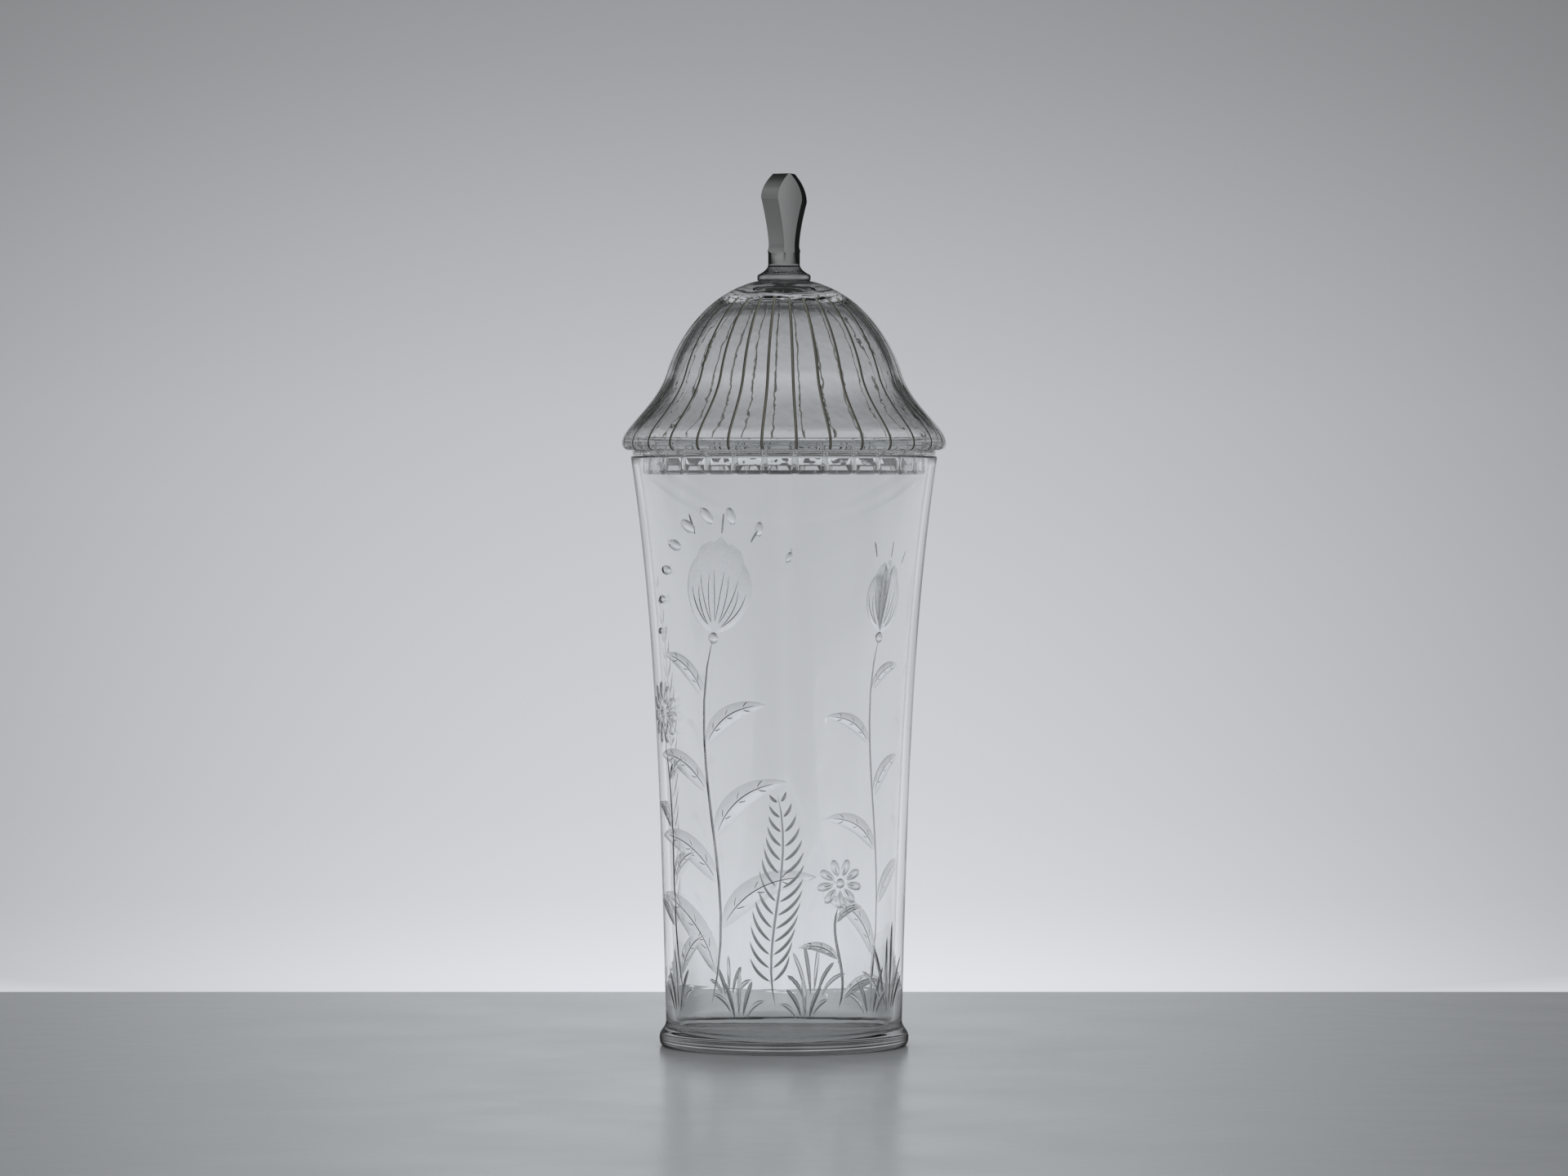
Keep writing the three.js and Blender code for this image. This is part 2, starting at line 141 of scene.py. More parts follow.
# Numbers of steps in the forms, and the angle from which an edge is sharp
TURN_STEPS = 288
WALL_STEPS = 64
LIP_STEPS = 8
FLARE_STEPS = 26
CROWN_STEPS = 30
HOLLOW_STEPS = 40
KNOB_STEPS = 70
KNOB_TURN_STEPS = 96
NOTCH_SIDES = 40
WHEEL_STEPS = 12
WHEEL_SIDES = 10
SHARP_EDGE = 35

# Order of the materials on the vase and on the lid
SATIN, FINE, FOOT_GLASS_PAINTED_DARK = 1, 2, 3
GROOVE, BUTTON_GLASS_PAINTED_DARK, KNOB_GLASS_PAINTED_DARK = 1, 2, 3

DEGREES = math.degrees(1)


# Curves and profiles

def bend(start, tip, end, steps):
    """Points of a round corner after its first one."""
    start, tip, end = (Vector((*p, 0)) for p in (start, tip, end))
    leave = start.lerp(tip, 2 / 3)
    arrive = end.lerp(tip, 2 / 3)
    return [p.xy for p in interpolate_bezier(start, leave, arrive, end, steps + 1)][1:]


def sweep(start, leave, arrive, end, steps):
    """Points of a curve with two handles, after its first one."""
    ends = [Vector((*p, 0)) for p in (start, leave, arrive, end)]
    return [p.xy for p in interpolate_bezier(*ends, steps + 1)][1:]


def leaning(degrees_from_down):
    angle = math.radians(degrees_from_down)
    return Vector((math.sin(angle), -math.cos(angle)))


def eased(value, low, high):
    """Smooth step from 0 at low to 1 at high."""
    share = min(max((value - low) / (high - low), 0), 1)
    return share * share * (3 - 2 * share)


def mixed(first, second, share):
    return first + (second - first) * share


def body_radius(height):
    """Outside radius of the body, an even taper and a flare towards the mouth."""
    share = max(height, 0) / BODY_HEIGHT
    flare = MOUTH_RADIUS - WAIST_RADIUS - BODY_TAPER
    return WAIST_RADIUS + BODY_TAPER * share + flare * share ** FLARE_POWER


def bore_radius(height):
    return body_radius(height) - mixed(WALL_AT_FLOOR, WALL_AT_RIM, height / BODY_HEIGHT)


def vase_profile():
    """From the middle of the base round the foot, up the wall, over the rim and down inside."""
    edge = (FOOT_RADIUS, FOOT_WIDEST)
    waist = (WAIST_RADIUS, FOOT_HEIGHT)
    points = [Vector((0, BASE_RECESS)), Vector((SOCKET_RADIUS - RECESS_CORNER, BASE_RECESS))]
    points += bend(points[-1], (SOCKET_RADIUS - RECESS_CORNER / 4, BASE_RECESS),
                   (SOCKET_RADIUS, 0), 5)
    points += [Vector((BEARING_RADIUS, 0))]
    points += bend(points[-1], (FOOT_RADIUS, 0), edge, 8)
    points += sweep(edge, (FOOT_RADIUS, FOOT_WIDEST + NECK_BEND),
                    (WAIST_RADIUS, FOOT_HEIGHT - NECK_BEND), waist, 14)
    rim_edge = BODY_HEIGHT - RIM_ROUNDING
    for i in range(1, WALL_STEPS + 1):
        height = rim_edge * i / WALL_STEPS
        points.append(Vector((body_radius(height), FOOT_HEIGHT + height)))
    top = FOOT_HEIGHT + BODY_HEIGHT
    outer, inner = body_radius(rim_edge), bore_radius(rim_edge)
    points += bend(points[-1], (outer, top), (outer - RIM_ROUNDING, top), 6)
    points += [Vector((inner + RIM_ROUNDING, top))]
    points += bend(points[-1], (inner, top), (inner, top - RIM_ROUNDING), 6)
    floor = BASE_RECESS + FLOOR_THICKNESS
    corner_top = floor + FLOOR_CORNER_HEIGHT - FOOT_HEIGHT
    for i in range(1, WALL_STEPS + 1):
        height = mixed(rim_edge, corner_top, i / WALL_STEPS)
        points.append(Vector((bore_radius(height), FOOT_HEIGHT + height)))
    radius = bore_radius(corner_top)
    points += bend(points[-1], (radius, floor), (radius - FLOOR_CORNER_WIDTH, floor), 14)
    return points + [Vector((0, floor))]


def dome_wall(height):
    """Thickness of the blown wall where the outside has this height."""
    thin = mixed(LIP_WALL, FLARE_WALL, eased(height, LIP_HEIGHT, FLARE_THINNEST))
    return mixed(thin, DOME_WALL, eased(height, FLARE_THINNEST, SHOULDER_HEIGHT))


def square_to(run):
    """Outward direction where a profile runs up its outside."""
    return Vector((run.y, -run.x)).normalized()


def outward(points):
    """Outward directions at all points of a profile."""
    normals = []
    for i, place in enumerate(points):
        ahead, behind = points[min(i + 1, len(points) - 1)], points[max(i - 1, 0)]
        normals.append(square_to(ahead - behind + ahead - place))
    return normals


def dome_outside(crown_steps):
    """Up the outside, after the lip: the flare and then the crown."""
    lean, slope = leaning(SHOULDER_LEAN), leaning(90 - CROWN_SLOPE)
    lip = Vector((LIP_RADIUS, LIP_HEIGHT))
    shoulder = Vector((SHOULDER_RADIUS, SHOULDER_HEIGHT))
    crown = Vector((BUTTON_FOOT, CROWN_HEIGHT))
    points = sweep(lip, lip + Vector((0, LIP_FULLNESS)), shoulder + lean * FLARE_FULLNESS,
                   shoulder, FLARE_STEPS)
    return points + sweep(shoulder, shoulder - lean * SHOULDER_FULLNESS,
                          crown + slope * CROWN_FULLNESS, crown, crown_steps)


def dome_inside():
    """From the ledge up to the middle of the hollow's flat top."""
    outside = dome_outside(HOLLOW_STEPS)
    points = []
    for place, normal in zip(outside, outward(outside)):
        inner = place - normal * dome_wall(place.y)
        if LEDGE_HEIGHT + LEDGE_ROUNDING < inner.y < HOLLOW_CROWN:
            points.append(inner)
    run = points[-1] - points[-2]
    tip = points[-1] + run * ((HOLLOW_TOP - points[-1].y) / run.y)
    points += bend(points[-1], tip, (HOLLOW_FLAT, HOLLOW_TOP), 14)
    return points + [Vector((HOLLOW_FLAT / 2, HOLLOW_TOP)), Vector((0, HOLLOW_TOP))]


def lid_profile():
    """From the top of the hollow down its inside, round the flange and lip, and up the outside."""
    foot = -FLANGE_HEIGHT
    points = dome_inside()[::-1]
    points += bend(points[-1], (points[-1].x, LEDGE_HEIGHT),
                   (points[-1].x - LEDGE_ROUNDING, LEDGE_HEIGHT), 5)
    points += bend(points[-1], (FLANGE_INNER, LEDGE_HEIGHT),
                   (FLANGE_INNER, LEDGE_HEIGHT - LEDGE_FALL), 5)
    points += [Vector((FLANGE_INNER, foot + FLANGE_BEVEL))]
    points += bend(points[-1], (FLANGE_INNER + FLANGE_NARROWING, foot),
                   (FLANGE_OUTER - 2 * FLANGE_EDGE, foot), 4)
    points += bend(points[-1], (FLANGE_OUTER, foot), (FLANGE_OUTER, foot + FLANGE_EDGE), 4)
    points += [Vector((FLANGE_OUTER, foot / 2)), Vector((FLANGE_OUTER, -FLANGE_EDGE))]
    points += bend(points[-1], (FLANGE_OUTER, 0), (FLANGE_OUTER + FLANGE_EDGE, 0), 3)
    points += [Vector((SEAT_RADIUS - SEAT_EDGE, 0))]
    points += bend(points[-1], (SEAT_RADIUS, 0), (SEAT_RADIUS, SEAT_EDGE), 3)
    points += bend(points[-1], (SEAT_RADIUS, SEAT_BAND),
                   (SEAT_RADIUS + LIP_UNDERCUT, SEAT_BAND), 5)
    points += bend(points[-1], (LIP_RADIUS, SEAT_BAND), (LIP_RADIUS, LIP_HEIGHT), LIP_STEPS)
    return points + dome_outside(CROWN_STEPS)


def button_profile():
    """From the crown out round the button's edge and up to the knob's neck."""
    rounding = BUTTON_EDGE / 2
    edge = (BUTTON_RADIUS, rounding)
    shoulder = (BUTTON_RADIUS - rounding / 2, BUTTON_EDGE)
    neck = (KNOB_NECK, BUTTON_HEIGHT)
    points = bend((BUTTON_FOOT, 0), (BUTTON_RADIUS, 0), edge, 5)
    points += bend(edge, (BUTTON_RADIUS, BUTTON_EDGE), shoulder, 6)
    points += bend(shoulder, (KNOB_NECK, (BUTTON_HEIGHT + BUTTON_EDGE) / 2), neck, 12)
    return [Vector((p.x, p.y + CROWN_HEIGHT)) for p in points]


# Turning and cutting

def turned(points, steps):
    """A profile turned about the upright axis. Each corner keeps the number of its point."""
    bm = bmesh.new()
    row = bm.verts.layers.int.new("row")
    verts = [bm.verts.new((p[0], 0, p[1])) for p in points]
    for i, vert in enumerate(verts):
        vert[row] = i
    edges = [bm.edges.new(pair) for pair in zip(verts, verts[1:])]
    bmesh.ops.spin(bm, geom=verts + edges, cent=(0, 0, 0), axis=(0, 0, 1), dvec=(0, 0, 0),
                   angle=math.tau, steps=steps, use_merge=True, use_duplicate=False)
    bmesh.ops.remove_doubles(bm, verts=bm.verts, dist=0.001)
    bmesh.ops.recalc_face_normals(bm, faces=bm.faces)
    return bm


def as_object(bm, name, materials):
    mesh = bpy.data.meshes.new(name)
    bm.to_mesh(mesh)
    bm.free()
    for finish in materials:
        mesh.materials.append(finish)
    piece = bpy.data.objects.new(name, mesh)
    bpy.context.scene.collection.objects.link(piece)
    return piece


def joined(piece, other, operation):
    """The piece after the other solid is cut from it or fused to it."""
    step = piece.modifiers.new("join", "BOOLEAN")
    step.operation = operation
    step.solver = "MANIFOLD"
    step.object = other
    solved = piece.evaluated_get(bpy.context.evaluated_depsgraph_get())
    mesh = bpy.data.meshes.new_from_object(solved)
    piece.modifiers.clear()
    old = piece.data
    piece.data = mesh
    mesh.name = old.name
    bpy.data.meshes.remove(old)
    bpy.data.objects.remove(other)
    return piece


def finished(piece, name, body, nodes):
    """Scales a piece from millimetres, smooths it and puts it in the place of its nodes."""
    mesh = piece.data
    mesh.transform(Matrix.Scale(MM, 4))
    mesh.shade_smooth()
    mesh.set_sharp_from_angle(angle=math.radians(SHARP_EDGE))
    piece.name = name
    mesh.name = name
    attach(piece, body)
    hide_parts(*nodes)
    return piece


# Materials

class Value:
    """A socket's value in an expression."""

    def __init__(self, nodes, socket):
        self.nodes, self.socket = nodes, socket

    def maths(self, operation, *values):
        return self.nodes.node("ShaderNodeMath", {"operation": operation},
                               dict(enumerate((self, *values))))

    def __add__(self, other):
        return self.maths("ADD", other)

    __radd__ = __add__

    def __sub__(self, other):
        return self.maths("SUBTRACT", other)

    def __rsub__(self, other):
        return self.nodes.node("ShaderNodeMath", {"operation": "SUBTRACT"}, {0: other, 1: self})

    def __mul__(self, other):
        return self.maths("MULTIPLY", other)

    __rmul__ = __mul__

    def __pow__(self, other):
        return self.maths("POWER", other)

    def __gt__(self, other):
        return self.maths("GREATER_THAN", other)


class Nodes:
    """Builds a node tree, one call to a node."""

    def __init__(self, tree):
        self.tree = tree
        tree.nodes.clear()

    def node(self, kind, settings=None, inputs=None, output=0):
        made = self.tree.nodes.new(kind)
        for name, value in (settings or {}).items():
            if name == "stops":
                self.set_stops(made.color_ramp, value)
            else:
                setattr(made, name, value)
        for name, value in (inputs or {}).items():
            if isinstance(value, Value):
                self.tree.links.new(value.socket, made.inputs[name])
            else:
                made.inputs[name].default_value = value
        return Value(self, made.outputs[output])

    @staticmethod
    def set_stops(ramp, stops):
        while len(ramp.elements) < len(stops):
            ramp.elements.new(1)
        for element, (place, colour) in zip(ramp.elements, stops):
            element.position = place
            element.color = colour if len(colour) == 4 else (*colour, 1)

    def smooth(self, value, low, high, start=0, end=1):
        return self.node("ShaderNodeMapRange", {"interpolation_type": "SMOOTHSTEP"},
                         {0: value, 1: low, 2: high, 3: start, 4: end})

    def place(self):
        return self.node("ShaderNodeTexCoord", output="Object")

    def split(self, vector):
        parts = self.node("ShaderNodeSeparateXYZ", None, {0: vector}).socket.node.outputs
        return [Value(self, part) for part in parts]

    def noise(self, place, scale, detail=2, roughness=0.5):
        return self.node("ShaderNodeTexNoise", None,
                         {"Vector": place, "Scale": scale, "Detail": detail,
                          "Roughness": roughness})

    def light_path(self):
        outputs = self.node("ShaderNodeLightPath").socket.node.outputs
        return {output.name: Value(self, output) for output in outputs}

    def mixed_colour(self, share, first, second):
        """The first colour, turning into the second with the share."""
        first, second = (c if isinstance(c, Value) else (*c, 1) for c in (first, second))
        return self.node("ShaderNodeMix", {"data_type": "RGBA"},
                         {"Factor": share, 6: first, 7: second}, output=2)

    def bump(self, height, distance):
        return self.node("ShaderNodeBump", None,
                         {"Height": height, "Distance": distance, "Strength": 1})

    def stretched(self, place, scale):
        return self.node("ShaderNodeMapping", None, {"Vector": place, "Scale": scale})

    def scaled(self, colour, level):
        return self.node("ShaderNodeVectorMath", {"operation": "SCALE"},
                         {0: colour, "Scale": level})

    def facing(self):
        return self.node("ShaderNodeLayerWeight", None, {"Blend": 0.5}, output="Facing")

    def mixed_shader(self, share, first, second):
        return self.node("ShaderNodeMixShader", None, {0: share, 1: first, 2: second})

    def surface(self, shader, output="ShaderNodeOutputMaterial"):
        made = self.tree.nodes.new(output)
        self.tree.links.new(shader.socket, made.inputs["Surface"])


def material(name):
    made = bpy.data.materials.new(name)
    made.use_nodes = True
    return made, Nodes(made.node_tree)


def position(nodes):
    """Object coordinates in millimetres: x, y, z and the distance from the upright axis."""
    x, y, z = (part * 1000 for part in nodes.split(nodes.place()))
    return x, y, z, (x * x + y * y) ** 0.5


def lit_through(nodes, shader, passing, hazy):
    """Glass that lets the light of the room through to the table and to the table's soft
    reflection, passing being the share at each surface. Hazy glass hides its own far side."""
    path = nodes.light_path()
    gap = nodes.node("ShaderNodeBsdfTransparent", None, {"Color": (passing,) * 3 + (1,)})
    soft = path["Is Glossy Ray"] * (1 - path["Is Singular Ray"])
    if not hazy:
        soft = soft * path["Is Reflection Ray"]
    unseen = path["Is Shadow Ray"].maths("MAXIMUM", path["Is Diffuse Ray"]).maths("MAXIMUM", soft)
    return nodes.mixed_shader(unseen, shader, gap)


# Where the glass was worked most, and where shade is painted on the crown and on one side of the
# knob: millimetres from the upright axis, of height, or aside.
CROWN_CURLS = (9, 22)
CROWN_PAINTED_MOTTLE = (19, 27)
CROWN_PAINTED_SHADE = (8, 17)
BASE_STREAKS = (14, 40)
KNOB_PAINTED_SHADE = (-4, 7)
CROWN_PAINTED_MOTTLE_COLOUR = (0.3, 0.3, 0.29)
CROWN_PAINTED_SHADE_COLOUR = (0.03, 0.03, 0.03)


def clear_glass(name, tint_and_painted_shade, waviness, wave_scale, roughness=0, passing=0.975, edge=None,
                crown=0, base=0, side_painted_shade=0, hazy=False):
    """Smooth blown glass with a slow waviness. Edge paints shade: a near-black matt layer mixed in
    where the glass turns away from view. Crown adds the uneven glass where the button was set
    on the lid, with shade painted in dark grey mottles and a near-black disc round the button;
    base adds the streaks low on the body; and the share for the knob paints shade across one
    side of it."""
    made, nodes = material(name)
    place = nodes.place()
    height = nodes.noise(place, wave_scale) * waviness
    tone = nodes.noise(place, 40)
    light, deep = [t * 1.01 for t in tint_and_painted_shade], [t * 0.97 for t in tint_and_painted_shade]
    colour = nodes.mixed_colour(tone, light, deep)
    along, _, level, radius = position(nodes)
    # Painted shade: one side of the knob darkens towards a tenth of its tint.
    if side_painted_shade:
        colour = nodes.mixed_colour(nodes.smooth(along, *KNOB_PAINTED_SHADE, 0, side_painted_shade), colour,
                                    [t * 0.1 for t in tint_and_painted_shade])
    if crown:
        near = nodes.smooth(radius, *CROWN_CURLS, 1, 0)
        curls = nodes.noise(nodes.stretched(place, (1, 1, 2.5)), 55)
        height = height + curls * near * crown
        # Painted shade: dark grey mottles round the crown, and below a near-black disc round the
        # button's foot.
        painted_mottle = nodes.smooth(curls, 0.35, 0.6, 0.4, 1) * nodes.smooth(radius, *CROWN_PAINTED_MOTTLE, 1, 0)
        colour = nodes.mixed_colour(painted_mottle, colour, CROWN_PAINTED_MOTTLE_COLOUR)
        colour = nodes.mixed_colour(nodes.smooth(radius, *CROWN_PAINTED_SHADE, 0.95, 0), colour, CROWN_PAINTED_SHADE_COLOUR)
    if base:
        streaks = nodes.noise(nodes.stretched(place, (0.35, 0.35, 3)), 45, 3, 0.6)
        height = height + streaks * nodes.smooth(level, *BASE_STREAKS, 1, 0) * base
    shader = nodes.node("ShaderNodeBsdfPrincipled", None, {
        "Base Color": colour, "Roughness": roughness, "IOR": 1.5, "Transmission Weight": 1,
        "Normal": nodes.bump(height, 1)})
    if edge:
        # Painted shade: a near-black matt layer mixed in where the glass turns away from view.
        painted_edge_shade = nodes.node("ShaderNodeBsdfDiffuse", None, {"Color": (0.01, 0.01, 0.01, 1)})
        shader = nodes.mixed_shader(nodes.smooth(nodes.facing(), *edge), shader, painted_edge_shade)
    nodes.surface(lit_through(nodes, shader, passing, hazy))
    return made


def matt_cut(name, colour, roughness, transmission, grain_depth):
    """Surface left by a wheel, with the grain of the grit."""
    made, nodes = material(name)
    grain = nodes.noise(nodes.place(), 900, 3, 0.6)
    tone = nodes.mixed_colour(grain, [c * 0.8 for c in colour], [c * 1.2 for c in colour])
    shader = nodes.node("ShaderNodeBsdfPrincipled", None, {
        "Base Color": tone, "Roughness": roughness, "IOR": 1.5,
        "Transmission Weight": transmission, "Normal": nodes.bump(grain, grain_depth)})
    nodes.surface(shader)
    return made


def groove_bed(name, middle, edge, margin):
    """Matt bed of the lid's grooves, mottled along its length, with shade painted as a darker band
    along both edges. Seen from inside the glass, its margin lets some light through."""
    made, nodes = material(name)
    x, y, _, radius = position(nodes)
    pitch = 360 / CUT_COUNT
    turn = x.maths("ARCTAN2", y * -1) * DEGREES
    within = (turn - CUT_TURN + pitch / 2 + 360).maths("FLOORED_MODULO", pitch) - pitch / 2
    aside = within.maths("ABSOLUTE") * radius * math.radians(1)
    mottle = nodes.noise(nodes.stretched(nodes.place(), (1, 1, 0.3)), 700, 3, 0.6)
    ragged = aside + mottle * 0.3
    base = nodes.mixed_colour(nodes.smooth(mottle, 0.35, 0.65), [c * 0.85 for c in middle],
                              [c * 1.2 for c in middle])
    # Painted shade: the bed darkens to the edge colour towards both sides of the groove.
    shader = nodes.node("ShaderNodeBsdfPrincipled", None, {
        "Base Color": nodes.mixed_colour(nodes.smooth(ragged, 0.22, 0.6), base, edge),
        "Roughness": 0.6,
        "Normal": nodes.bump(mottle, 0.0002)})
    satin = nodes.node("ShaderNodeBsdfPrincipled", None, {
        "Base Color": (*margin, 1), "Roughness": 0.35, "IOR": 1.5,
        "Transmission Weight": 1, "Normal": nodes.bump(mottle, 0.0001)})
    within_glass = nodes.node("ShaderNodeNewGeometry", output="Backfacing")
    clear = nodes.smooth(ragged, 0.3, 0.42) * within_glass
    nodes.surface(nodes.mixed_shader(clear.maths("MAXIMUM", within_glass * 0.12), shader, satin))
    return made


# Engraving: wheel cuts on the outside of the wall, laid out in degrees round from the front and
# millimetres of height.

# Kinds of line: width, depth, finish and fullness of the cut.
STEM = (1.1, 0.65, FINE, 0.3)
RIB = (0.5, 0.75, FINE, 0.5)
VEIN = (0.4, 0.62, FINE, 0.5)
STREAK = (0.4, 0.7, FINE, 0.5)
PETAL_LINE = (0.4, 0.6, FINE, 0.5)
STAMEN = (0.8, 0.5, FINE, 0.4)
FROND_RIB = (0.9, 0.6, FINE, 0.35)
FROND_LEAF = (1.15, 0.6, FINE, 0.75, 0.2)
LEAF_DEPTH = 0.42
VEINS_AT = (0.22, 0.47, 0.72)
PETAL_DEPTH = 0.4
EYE_DEPTH = 0.5
CUP_SIZE = 4.5
CUP_DEPTH = 0.55
GRASS_WIDTH = 1.7
GRASS_DEPTH = 0.6
GRASS_SPACING = 1.7
CUT_CLEARANCE = 0.3

# Tufts of grass: turn, level, number of blades, height and seed.
TUFTS = ((-62, 14, 5, 22, 1), (-22, 13, 5, 18, 2), (10, 13, 5, 15, 3), (46, 14, 5, 24, 4),
         (60, 14, 6, 34, 5), (-95, 15, 5, 22, 6), (112, 14, 5, 20, 7), (165, 14, 6, 24, 8),
         (-150, 14, 5, 18, 9))


def mm_per_degree(level):
    """Length of one degree round the wall at a level."""
    return math.radians(body_radius(level - FOOT_HEIGHT))


class Engraving:
    """Gathers cuts in layers, so that no two cuts of one layer touch, and carves them."""

    def __init__(self):
        self.layers = []

    def cut(self, path, width, depth, finish, fullness, lean=0):
        """A cut along a path, pointed at both ends and widest at the share of its length that
        lean moves from the middle."""
        flat = [path(i / WHEEL_STEPS) for i in range(WHEEL_STEPS + 1)]
        scale = mm_per_degree(flat[0][1])
        places = [Vector((turn * scale, level)) for turn, level in flat]
        half = width / 2 + CUT_CLEARANCE
        low = Vector((min(p.x for p in places) - half, min(p.y for p in places) - half))
        high = Vector((max(p.x for p in places) + half, max(p.y for p in places) + half))
        made = (path, width, depth, finish, fullness, lean)
        for layer in self.layers:
            if all(low.x > h.x or high.x < l.x or low.y > h.y or high.y < l.y
                   for l, h, _ in layer):
                layer.append((low, high, made))
                return
        self.layers.append([(low, high, made)])

    def carve(self, piece, materials):
        for layer in self.layers:
            bm = bmesh.new()
            for _, _, made in layer:
                wheel_cut(bm, *made)
            bmesh.ops.recalc_face_normals(bm, faces=bm.faces)
            piece = joined(piece, as_object(bm, "wheel_cuts", materials), "DIFFERENCE")
        return piece


def wheel_cut(bm, path, width, depth, finish, fullness, lean):
    """A spindle whose axis lies on the surface of the wall along the path."""
    made = bmesh.ops.create_uvsphere(bm, u_segments=WHEEL_SIDES, v_segments=WHEEL_STEPS,
                                     radius=1)
    verts = made["verts"]
    for face in {face for vert in verts for face in vert.link_faces}:
        face.material_index = finish
    for vert in verts:
        share = math.acos(max(-1, min(1, -vert.co.z))) / math.pi
        ahead, behind = path(min(share + 0.02, 1)), path(max(share - 0.02, 0))
        turn, level = path(share)
        scale = mm_per_degree(level)
        run = Vector(((ahead[0] - behind[0]) * scale, ahead[1] - behind[1])).normalized()
        along = share ** (1 - lean) if lean >= 0 else 1 - (1 - share) ** (1 + lean)
        size = max(4 * along * (1 - along), 0) ** fullness
        ring = math.hypot(vert.co.x, vert.co.y)
        across = vert.co.x / ring * width / 2 * size if ring > 1e-4 else 0
        inward = vert.co.y / ring * depth * size if ring > 1e-4 else 0
        height = level - run.x * across
        angle = math.radians(turn + run.y * across / scale)
        radius = body_radius(height - FOOT_HEIGHT) + inward
        vert.co = (radius * math.sin(angle), -radius * math.cos(angle), height)


def curve(*ends):
    """A path through four points, the middle two of them handles."""
    ends = [Vector(end) for end in ends]

    def path(share):
        a, b, c, d = ends
        rest = 1 - share
        return (a * rest ** 3 + b * 3 * rest * rest * share + c * 3 * rest * share * share
                + d * share ** 3)
    return path


def blade(start, heading, length, sway=0):
    """A path from a place, headed in degrees from upright and swaying to one side."""
    turn, level = start
    scale = mm_per_degree(level)

    def at(reach, degrees):
        angle = math.radians(degrees)
        return (turn + reach * math.sin(angle) / scale, level + reach * math.cos(angle))
    return curve(start, at(length / 3, heading), at(length * 2 / 3, heading + sway * 0.4),
                 at(length, heading + sway))


def heading_of(path, share):
    """Degrees from upright in which a path runs at a share of its length."""
    (turn, level), (turn2, level2) = path(max(share - 0.03, 0)), path(min(share + 0.03, 1))
    return math.degrees(math.atan2((turn2 - turn) * mm_per_degree(level), level2 - level))


def beside(place, heading, reach):
    """The place a reach away from another one."""
    angle = math.radians(heading)
    return (place[0] + reach * math.sin(angle) / mm_per_degree(place[1]),
            place[1] + reach * math.cos(angle))


def part_of(path, start, end):
    """The path from one share of its length to another."""
    return lambda share: path(start + (end - start) * share)


def leaf(work, start, heading, length, width, sway):
    """Broad leaf with a rib and pairs of veins."""
    path = blade(start, heading, length, sway)
    work.cut(path, width, LEAF_DEPTH, SATIN, 0.8, 0.1)
    work.cut(part_of(path, 0.04, 0.92), *RIB)
    for share in VEINS_AT:
        for side in (-1, 1):
            turned_to = heading_of(path, share) + side * 42
            start_at = beside(path(share), turned_to, 0.5)
            work.cut(blade(start_at, turned_to, width * 0.42, -side * 12), *VEIN)


def tulip(work, start, heading, length):
    """Open flower of five petals with stamens over them and a cup below."""
    for apart, size in ((-50, 0.8), (50, 0.8), (-25, 0.95), (25, 0.95), (0, 1)):
        path = blade(start, heading + apart, length * size, -apart * 0.75)
        work.cut(path, length * 0.3, PETAL_DEPTH, SATIN, 0.75, -0.3)
        for side in (-0.05, 0.05):
            streak = blade(beside(start, heading + apart, 3), heading + apart + side * 120,
                           length * size * 0.62, -apart * 0.5)
            work.cut(streak, *STREAK)
    for apart in (-13, 0, 13):
        path = blade(start, heading + apart, length * 1.25, apart * 0.4)
        work.cut(part_of(path, 0.82, 1), *STAMEN)
    work.cut(blade(start, heading + 180, CUP_SIZE), CUP_SIZE, CUP_DEPTH, SATIN, 0.7)


def daisy(work, centre, radius, petals, turned_by=0):
    """Round flower with pointed petals round a hollow eye."""
    for i in range(petals):
        heading = turned_by + i * 360 / petals
        path = blade(beside(centre, heading, radius * 0.3), heading, radius * 0.7)
        work.cut(path, radius * 0.36, PETAL_DEPTH, SATIN, 0.7, -0.2)
        work.cut(part_of(path, 0.1, 0.6), *PETAL_LINE)
    eye = blade(beside(centre, 180, radius * 0.2), 0, radius * 0.4)
    work.cut(eye, radius * 0.38, EYE_DEPTH, SATIN, 0.5)


def grass(work, turn, level, blades, height, seed):
    """Tuft of blades that spread to both sides, the outer ones shorter."""
    pick = random.Random(seed)
    for i in range(blades):
        apart = i / (blades - 1) - 0.5
        start = (turn + apart * blades * GRASS_SPACING, level + pick.uniform(0, 2.5))
        tall = height * (1 - abs(apart) * 0.9) * pick.uniform(0.8, 1.1)
        path = blade(start, apart * 34, tall, apart * 50 + pick.uniform(-8, 8))
        work.cut(path, GRASS_WIDTH, GRASS_DEPTH, FINE if i % 2 else SATIN, 0.8, -0.3)


def fern(work, path, pairs, longest):
    """Frond with pairs of narrow leaves, longest in its lower half."""
    work.cut(path, *FROND_RIB)
    for i in range(pairs):
        share = 0.12 + 0.84 * i / (pairs - 1)
        length = longest * math.sin(math.pi * (0.22 + 0.74 * share)) + 1.5
        for side in (-1, 1):
            turned_to = heading_of(path, share) + side * 58
            start = beside(path(share), turned_to, 0.8)
            work.cut(blade(start, turned_to, length, -side * 22), *FROND_LEAF)


